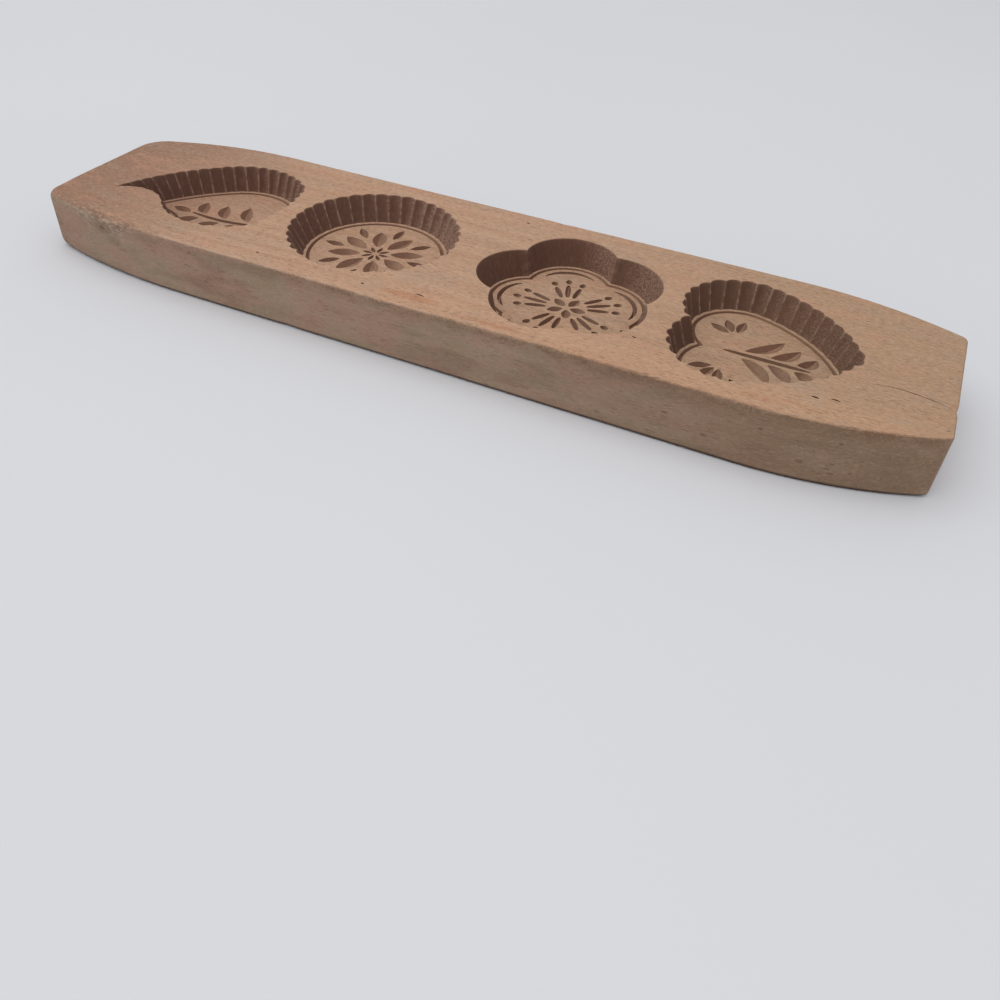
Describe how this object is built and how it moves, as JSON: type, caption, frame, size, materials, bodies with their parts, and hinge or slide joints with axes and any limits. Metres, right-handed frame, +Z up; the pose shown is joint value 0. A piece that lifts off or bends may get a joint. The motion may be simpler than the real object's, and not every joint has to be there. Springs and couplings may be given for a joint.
{
  "type": "wooden mooncake mold",
  "caption": "Carved hardwood bar mold with tapered ends and drafted, fluted hollows that press filled dough into mooncakes.",
  "frame": {"origin": "centre of the board's flat underside", "axes": "+X along the board, from the peach to the heart, +Y across the board towards its back side, +Z up, out of the hollows"},
  "size_m": [0.381, 0.096, 0.0255],
  "materials": {
    "carved_wood": "bare hardwood, worn and darkened by use, with light scuffs on its face and dark oil in the carved walls"
  },
  "bodies": {
    "root": {"mold_board": "carved_wood"}
  },
  "joints": []
}
